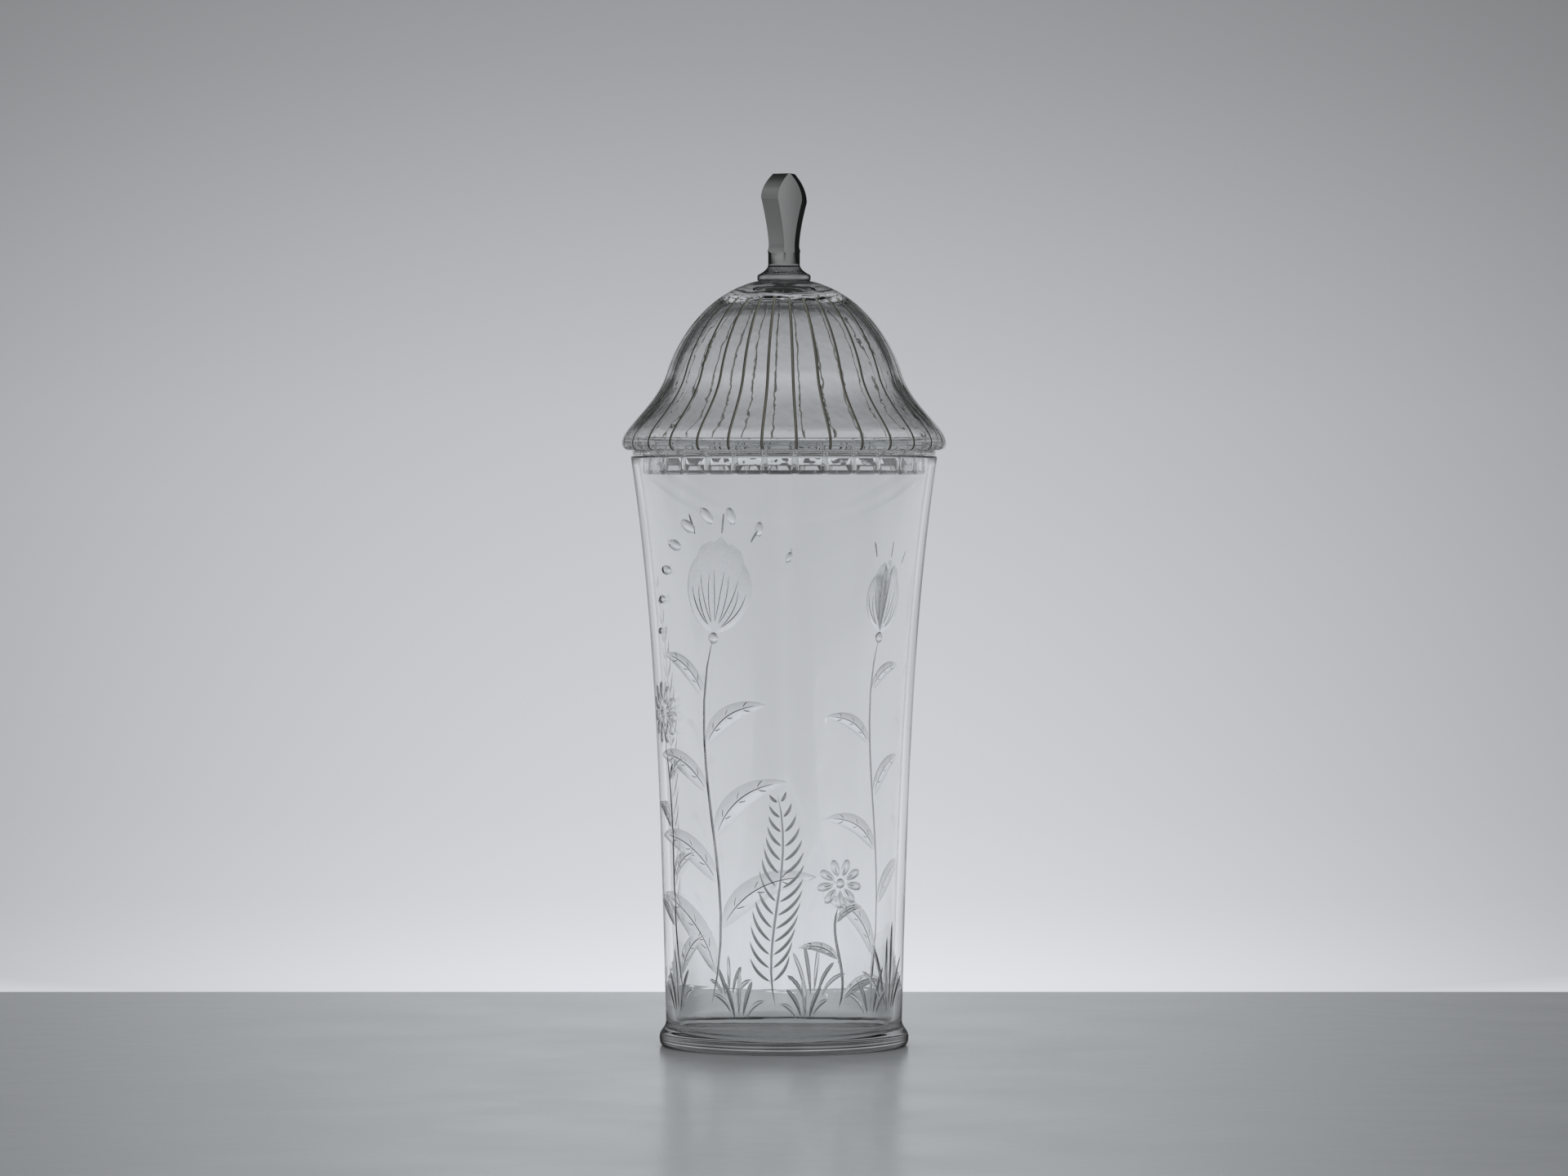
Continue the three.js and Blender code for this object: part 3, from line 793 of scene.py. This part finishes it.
def stalk(work, path, leaves, longest, first_side):
    """Stem with alternate leaves that get shorter towards its top."""
    work.cut(path, *STEM)
    for i in range(leaves):
        share = 0.08 + 0.76 * i / (leaves - 1)
        side = first_side * (1 if i % 2 == 0 else -1)
        length = longest * (1 - 0.5 * share)
        start = beside(path(share), heading_of(path, share) + side * 60, 0.8)
        leaf(work, start, heading_of(path, share) + side * 26, length, length * 0.25, side * 34)


def seeds(work, path, count, longest):
    """Oval cuts in a drifting row."""
    for i in range(count):
        share = i / (count - 1)
        length = longest * (0.55 + 0.45 * math.sin(math.pi * share))
        centre = path(share)
        heading = heading_of(path, share) + 62
        seed = blade(beside(centre, heading + 180, length / 2), heading, length)
        work.cut(seed, length * 0.55, EYE_DEPTH, SATIN, 0.55)


def engrave(piece, materials):
    """A meadow: tall flowers to the left, low ones and ferns in the middle, and a sparse back."""
    work = Engraving()
    tall = curve((-37, 18), (-18, 66), (-52, 104), (-31, 158))
    stalk(work, tall, 7, 46, -1)
    tulip(work, tall(1), 8, 36)
    left = curve((-56, 20), (-70, 52), (-58, 86), (-68, 116))
    stalk(work, left, 5, 26, 1)
    daisy(work, (-69, 127), 12, 11)
    fern(work, curve((-4, 18), (-12, 44), (6, 68), (-3, 98)), 14, 12)
    low = curve((27, 17), (34, 32), (20, 42), (26, 55))
    stalk(work, low, 3, 21, 1)
    daisy(work, (27, 64), 9.5, 9, 20)
    for tuft in TUFTS:
        grass(work, *tuft)
    seeds(work, curve((-66, 158), (-58, 190), (-30, 222), (2, 186)), 9, 8)
    back = curve((128, 20), (112, 66), (146, 108), (130, 156))
    stalk(work, back, 6, 36, 1)
    tulip(work, back(1), -8, 28)
    fern(work, curve((-104, 24), (-92, 84), (-116, 124), (-98, 180)), 20, 12)
    return work.carve(piece, materials)


# The vase

def make_vase():
    # Painted shade: the edge shares mix near-black into the glass where it turns away from view,
    # and the foot's grey tint darkens it as painted shade.
    glass = clear_glass("vase_glass_clear", (0.985, 0.99, 0.99), 0.0004, 9,
                        edge=(0.78, 0.9, 0, 0.3), base=0.00007)
    satin = matt_cut("engraved_satin", (0.98, 0.99, 1), 0.13, 0.9, 0.00002)
    # Painted shade: the fine line cuts are dark grey for the dark that their steep sides show.
    painted_dark_line_cut = matt_cut("engraved_line_painted_shade", (0.34, 0.35, 0.35), 0.2, 0.9, 0.0001)
    foot = clear_glass("foot_glass_painted_shade", (0.82, 0.83, 0.83), 0.0002, 30, passing=0.2,
                       edge=(0.55, 0.9, 0, 0.8))
    materials = [glass, satin, painted_dark_line_cut, foot]
    blank = turned(vase_profile(), TURN_STEPS)
    for face in blank.faces:
        middle = face.calc_center_median()
        if middle.xy.length > SOCKET_RADIUS and middle.z < FOOT_HEIGHT:
            face.material_index = FOOT_GLASS_PAINTED_DARK
    piece = as_object(blank, "vase_glass", materials)
    piece = engrave(piece, materials)
    return finished(piece, "vase_glass", "vase", ["vase_body", "foot"])


# The lid

def groove_share(radius, level):
    """Share of the full depth that a groove has, as it runs out at the crown and at the seat."""
    if level <= SEAT_BAND and radius <= SEAT_RADIUS + SEAT_MARGIN:
        return 0
    return min(max((radius - GROOVE_TOP) / GROOVE_RUNOUT, 0), 1)


def half_groove(radius):
    """Half the width of a groove as an angle."""
    return GROOVE_WIDTH / 2 / max(radius, 8)


def column_turns(radius):
    """Turns of the columns from a groove's middle to halfway to the next groove, closer together
    across the groove."""
    half = half_groove(radius)
    beside_groove, halfway = half * 1.5, GROOVE_PITCH / 2
    return [0, half * 0.35, half * 0.7, half, beside_groove,
            beside_groove + (halfway - beside_groove) * 0.5, halfway]


def nearest_groove(angle):
    """Number of the nearest groove, and of the columns from its middle."""
    column = round(angle / (GROOVE_PITCH / CUT_COLUMNS))
    groove = round(column / CUT_COLUMNS)
    return groove, column - groove * CUT_COLUMNS


def make_lid_blank():
    """Dome, flange and button in one, with the grooves cut down the dome."""
    profile = lid_profile()
    chain = profile + button_profile() + [Vector((0, CROWN_HEIGHT + BUTTON_HEIGHT))]
    lip = len(profile) - LIP_STEPS - FLARE_STEPS - CROWN_STEPS
    bm = turned(chain, CUT_COUNT * CUT_COLUMNS)
    row = bm.verts.layers.int["row"]
    beds = set()
    for vert in bm.verts:
        i = vert[row]
        place = chain[i]
        if place.x < 0.01:
            continue
        groove, column = nearest_groove(math.atan2(vert.co.y, vert.co.x))
        turn = math.copysign(column_turns(place.x)[abs(column)], column)
        share = groove_share(place.x, place.y) if lip <= i < len(profile) else 0
        across = min(abs(turn) / half_groove(place.x), 1)
        depth = GROOVE_DEPTH * share * (1 - across ** 2)
        cut = place - square_to(chain[i + 1] - chain[i - 1]) * depth
        around = groove * GROOVE_PITCH + turn + math.radians(CUT_TURN - 90)
        vert.co = (cut.x * math.cos(around), cut.x * math.sin(around), cut.y)
        if share > 0 and abs(column) <= GROOVE_EDGE_COLUMN:
            beds.add(vert)
    for face in bm.faces:
        if all(vert in beds for vert in face.verts):
            face.material_index = GROOVE
        elif min(vert[row] for vert in face.verts) >= len(profile):
            face.material_index = BUTTON_GLASS_PAINTED_DARK
    bmesh.ops.recalc_face_normals(bm, faces=bm.faces)
    bmesh.ops.translate(bm, verts=bm.verts, vec=(0, 0, LID_LEVEL))
    return bm


def notch_cutters():
    """Leaning rods, one to a notch round the flange."""
    bm = bmesh.new()
    length = FLANGE_HEIGHT + 2 * NOTCH_OVERRUN
    reach = FLANGE_OUTER - NOTCH_DEPTH + NOTCH_WHEEL
    for i in range(CUT_COUNT):
        made = bmesh.ops.create_cone(bm, cap_ends=True, segments=NOTCH_SIDES,
                                     radius1=NOTCH_WHEEL, radius2=NOTCH_WHEEL, depth=length)
        turn = i * GROOVE_PITCH + math.radians(CUT_TURN)
        place = Matrix.Rotation(turn, 4, "Z") @ Matrix.Translation((0, -reach, -FLANGE_HEIGHT))
        place = place @ Matrix.Rotation(math.radians(NOTCH_TILT), 4, "X")
        place = Matrix.Translation((0, 0, LID_LEVEL)) @ place
        place = place @ Matrix.Translation((0, 0, length / 2 - NOTCH_OVERRUN))
        bmesh.ops.transform(bm, matrix=place, verts=made["verts"])
    return bm


def knob_section(height):
    """Half sizes of the knob's section at a height."""
    if height < WAIST_LEVEL:
        share = (WAIST_LEVEL - height) / (WAIST_LEVEL - RUNOUT_LEVEL)
        first, second, share = WAIST_SECTION, RUNOUT_SECTION, share ** 2
    elif height <= RIDGE_LEVEL:
        share = (height - WAIST_LEVEL) / (RIDGE_LEVEL - WAIST_LEVEL)
        first, second, share = WAIST_SECTION, RIDGE_SECTION, share ** 1.5
    else:
        share = (height - RIDGE_LEVEL) / (KNOB_HEIGHT - RIDGE_LEVEL)
        first, second, share = TOP_SECTION, RIDGE_SECTION, 1 - share ** 2
    return [mixed(a, b, share) for a, b in zip(first, second)]


def knob_loft():
    """Six-sided column whose corners are moved to the knob's section at each level."""
    bm = bmesh.new()
    bmesh.ops.create_cone(bm, cap_ends=True, segments=6, radius1=1, radius2=1, depth=1,
                          matrix=Matrix.Rotation(math.radians(30), 4, "Z"))
    upright = [e for e in bm.edges if abs(e.verts[0].co.z - e.verts[1].co.z) > 0.5]
    bmesh.ops.subdivide_edges(bm, edges=upright, cuts=KNOB_STEPS, use_grid_fill=True)
    for vert in bm.verts:
        height = mixed(LOFT_START, KNOB_HEIGHT, vert.co.z + 0.5)
        face, side, depth = knob_section(height)
        around = [(face, -depth), (side, 0), (face, depth), (-face, depth), (-side, 0),
                  (-face, -depth)]
        sixth = round((math.degrees(math.atan2(vert.co.y, vert.co.x)) + 60) / 60) % 6
        x, y = around[sixth]
        below = (height - WAIST_LEVEL) / (RIDGE_LEVEL - WAIST_LEVEL)
        above = (KNOB_HEIGHT - height) / (KNOB_HEIGHT - RIDGE_LEVEL)
        tilt = RIDGE_TILT * x * max(0, min(below, above))
        vert.co = (x, y, height - tilt)
    return bm


def knob_blank():
    """Round neck that widens above into more than the knob's own width."""
    top = KNOB_HEIGHT + 1
    points = [(0, 0), (KNOB_NECK, 0), (KNOB_NECK, NECK_LEVEL), (BLANK_REACH, RIDGE_LEVEL),
              (BLANK_REACH, top), (0, top)]
    return turned(points, KNOB_TURN_STEPS)


def make_knob(materials):
    blank = as_object(knob_blank(), "knob_blank", materials)
    loft = knob_loft()
    bmesh.ops.recalc_face_normals(loft, faces=loft.faces)
    knob = joined(blank, as_object(loft, "knob_loft", materials), "INTERSECT")
    turn = Matrix.Rotation(math.radians(KNOB_TURN), 4, "Z")
    rise = Matrix.Translation((0, 0, LID_LEVEL + CROWN_HEIGHT + BUTTON_HEIGHT - KNOB_SINK))
    knob.data.transform(rise @ turn)
    for face in knob.data.polygons:
        face.material_index = KNOB_GLASS_PAINTED_DARK
    return knob


def make_lid():
    # Painted shade: the edge shares mix near-black into the glass where it turns away from view,
    # the button's and knob's dark tints and the knob's darker side are painted shade, and the
    # groove beds have shade painted along their edges.
    clear = clear_glass("lid_glass_clear", (0.97, 0.97, 0.97), 0.00008, 120,
                        edge=(0.65, 0.9, 0, 0.08), crown=0.0008)
    groove = groove_bed("groove_matt", (0.31, 0.295, 0.24), (0.08, 0.076, 0.064),
                        (0.3, 0.29, 0.25))
    knob_glass = clear_glass("knob_glass_painted_shade", (0.2, 0.2, 0.185), 0.0001, 60, 0.12,
                             edge=(0, 0.45, 0, 0.97), side_painted_shade=0.8, hazy=True)
    button_glass = clear_glass("button_glass_painted_shade", (0.42, 0.42, 0.41), 0.0002, 90,
                               edge=(0.3, 0.8, 0, 0.95))
    materials = [clear, groove, button_glass, knob_glass]
    lid = as_object(make_lid_blank(), "lid_blank", materials)
    lid = joined(lid, as_object(notch_cutters(), "notch_wheels", materials), "DIFFERENCE")
    lid = joined(lid, make_knob(materials), "UNION")
    return finished(lid, "lid_glass", "lid",
                    ["lid_dome", "lid_flange", "finial_button", "finial_knob"])


# Studio

TABLE_EDGE = 0.25
TABLE_HALF_WIDTH = 0.4
FLOOR_SIZE = 30
FLOOR_DROP = 0.00002

# Brightness of the backdrop by elevation in degrees.
BACKDROP = ((-9, 0.62), (-4.6, 0.79), (-3.8, 0.69), (-3, 0.645), (-1, 0.59), (0.5, 0.54),
            (2, 0.455), (3.5, 0.36), (6, 0.23), (14, 0.08))
LOWEST, HIGHEST = -30, 30
COOLNESS = (0.983, 1, 1.042)

# Brightness of the surroundings by the angle from the backdrop's middle, for light that came
# straight through the glass and for light that the glass turned back.
THROUGH = ((0, 0.97), (7, 0.91), (15, 0.8), (25, 0.72), (35, 0.86), (50, 1.05), (70, 0.95),
           (90, 0.85), (120, 0.8), (150, 0.85), (180, 0.85))
TURNED = ((0, 0.95), (7, 0.9), (15, 0.79), (25, 0.7), (35, 0.86), (50, 1.12), (70, 1.3),
          (90, 1.2), (110, 0.88), (140, 0.4), (180, 0.02))

# The backdrop's light falls off to both sides, and its middle lies a little left of the view.
LEFT_OF_VIEW = 0.0105
FALLOFF = 0.08
TABLE_BACK = 2.3

# Light that the glass bends up or down sees less of the backdrop's height.
NEAR_STEEPNESS, ASIDE_STEEPNESS = 0.87, 0.25

# Soft light for the table's reflections, and the light of the whole room.
ROOM_COLOUR = (0.94, 0.97, 1, 1)
ROOM_LIGHT = 0.5
TABLE_GLINT, GLINT_FALLOFF = 0.64, 0.16
ASLANT_GLINT = 0.45

CAMERA_PLACE = (0, -2.48, 0.22)
CAMERA_DIP = 1.07


def backdrop_colour(nodes, elevation):
    """Tone of the backdrop by elevation, slightly cool."""
    stops = []
    for degrees, tone in BACKDROP:
        place = (degrees - LOWEST) / (HIGHEST - LOWEST)
        stops.append((place, [tone * share for share in COOLNESS]))
    place = nodes.node("ShaderNodeMapRange", None,
                       {0: elevation, 1: LOWEST, 2: HIGHEST, 3: 0, 4: 1})
    return nodes.node("ShaderNodeValToRGB", {"stops": stops}, {"Fac": place})


def round_about(nodes, turn, table):
    """Brightness from a table of angles to both sides."""
    stops = [(degrees / 180, (tone / 2,) * 3) for degrees, tone in table]
    return nodes.node("ShaderNodeValToRGB", {"stops": stops}, {"Fac": turn * (1 / 180)}) * 2


def angle_of(x, y):
    return x.maths("ARCTAN2", y) * DEGREES


def off_axis(x, y, back=0):
    """Angle from the nearest of the four straight views, or from a little left of it."""
    x, y = (x + y * LEFT_OF_VIEW).maths("ABSOLUTE"), (y - x * LEFT_OF_VIEW).maths("ABSOLUTE")
    return angle_of(x.maths("MINIMUM", y), x.maths("MAXIMUM", y) + back).maths("ABSOLUTE")


def vignette(angle, steepness):
    """Falls off to both sides of the middle."""
    near = angle * steepness
    return (near * near * -1).maths("EXPONENT")


def between(share, first, second):
    return first * (1 - share) + second * share


def background(nodes, colour, strength):
    return nodes.node("ShaderNodeBackground", None, {"Color": colour, "Strength": strength})


def backdrop(nodes, path, x, y, z):
    """The backdrop as the camera sees it, and as it is seen through the glass."""
    turn = angle_of(x, y)
    turned_back = path["Glossy Depth"] > 0.5
    aside = nodes.smooth(turn.maths("ABSOLUTE"), 1, 9, NEAR_STEEPNESS, ASIDE_STEEPNESS)
    elevation = z.maths("ARCSINE") * DEGREES
    straight = path["Is Camera Ray"].maths("MAXIMUM", nodes.smooth(elevation, 8, 14))
    colour = backdrop_colour(nodes, elevation * between(straight, aside, 1))
    lopsided = nodes.smooth(turn, -10, 10, 1.07, 0.95)
    level = between(turned_back,
                    round_about(nodes, turn.maths("ABSOLUTE"), THROUGH) * lopsided,
                    round_about(nodes, turn.maths("ABSOLUTE"), TURNED))
    level = between(path["Is Camera Ray"], level, vignette(off_axis(x, y), FALLOFF))
    return background(nodes, colour, level)


def make_world():
    world = bpy.data.worlds.new("studio")
    bpy.context.scene.world = world
    world.use_nodes = True
    nodes = Nodes(world.node_tree)
    x, y, z = nodes.split(nodes.node("ShaderNodeTexCoord", output="Generated"))
    path = nodes.light_path()
    aslant = off_axis(x, y)
    glint = vignette(aslant, GLINT_FALLOFF) * TABLE_GLINT
    glint = glint + nodes.smooth(aslant, 20, 40, 0, ASLANT_GLINT)
    blurred = (1 - path["Is Singular Ray"]) * path["Is Glossy Ray"] * (path["Glossy Depth"] > 0.5)
    look = nodes.mixed_shader(blurred, backdrop(nodes, path, x, y, z),
                              background(nodes, ROOM_COLOUR, glint))
    room = background(nodes, ROOM_COLOUR, ROOM_LIGHT)
    nodes.surface(nodes.mixed_shader(path["Is Diffuse Ray"], look, room),
                  "ShaderNodeOutputWorld")


def table_finish():
    """Grey table with a soft gloss. Beyond its edges the backdrop goes on below the horizon."""
    made, nodes = material("studio_floor")
    place = nodes.place()
    x, y, _ = nodes.split(place)
    mottle = nodes.noise(place, 14, 4, 0.6)
    table = nodes.node("ShaderNodeBsdfPrincipled", None, {
        "Base Color": (0.42, 0.43, 0.44, 1), "IOR": 1.5,
        "Roughness": nodes.smooth(mottle, 0.2, 0.8, 0.17, 0.26)})
    elevation = (1 - nodes.facing()).maths("ARCSINE") * -DEGREES
    path = nodes.light_path()
    level = between(path["Is Camera Ray"],
                    round_about(nodes, angle_of(x, y).maths("ABSOLUTE"), THROUGH),
                    vignette(off_axis(x, y, TABLE_BACK), FALLOFF))
    glow = nodes.node("ShaderNodeEmission", None, {
        "Color": nodes.scaled(backdrop_colour(nodes, elevation), level)})
    beyond = (y > TABLE_EDGE).maths("MAXIMUM", x.maths("ABSOLUTE") > TABLE_HALF_WIDTH)
    share = beyond * nodes.smooth(elevation, -11, -8) * (1 - path["Is Diffuse Ray"])
    nodes.surface(nodes.mixed_shader(share, table, glow))
    return made


def make_floor():
    bm = bmesh.new()
    bmesh.ops.create_grid(bm, x_segments=8, y_segments=8, size=FLOOR_SIZE)
    bmesh.ops.translate(bm, verts=bm.verts, vec=(0, 0, -FLOOR_DROP))
    floor = as_object(bm, "studio_floor", [table_finish()])


def add_panel(name, size, energy, location, tilt):
    lamp = bpy.data.lights.new(name, "AREA")
    lamp.shape = "RECTANGLE"
    lamp.size, lamp.size_y = size
    lamp.energy = energy
    panel = bpy.data.objects.new(name, lamp)
    panel.location = location
    panel.rotation_euler = (math.radians(tilt), 0, 0)
    bpy.context.scene.collection.objects.link(panel)
    panel.visible_camera = False
    panel.visible_glossy = False
    panel.visible_transmission = False


def make_lights():
    add_panel("overhead_panel", (1.6, 1.2), 8, (0, 0.5, 1.8), -12)
    add_panel("low_panel", (2.4, 0.5), 32, (0, 2.4, 0.38), -85)


def make_camera():
    lens = bpy.data.cameras.new("camera")
    lens.lens, lens.sensor_width = 150, 36
    camera = bpy.data.objects.new("camera", lens)
    camera.location = CAMERA_PLACE
    camera.rotation_euler = (math.radians(90 - CAMERA_DIP), 0, 0)
    bpy.context.scene.collection.objects.link(camera)
    bpy.context.scene.camera = camera


def settings():
    scene = bpy.context.scene
    scene.view_settings.view_transform = "Standard"
    scene.cycles.max_bounces = 24
    scene.cycles.transmission_bounces = 20
    scene.cycles.glossy_bounces = 10
    scene.cycles.transparent_max_bounces = 8


make_camera()
make_world()
make_floor()
make_lights()
make_vase()
make_lid()
settings()
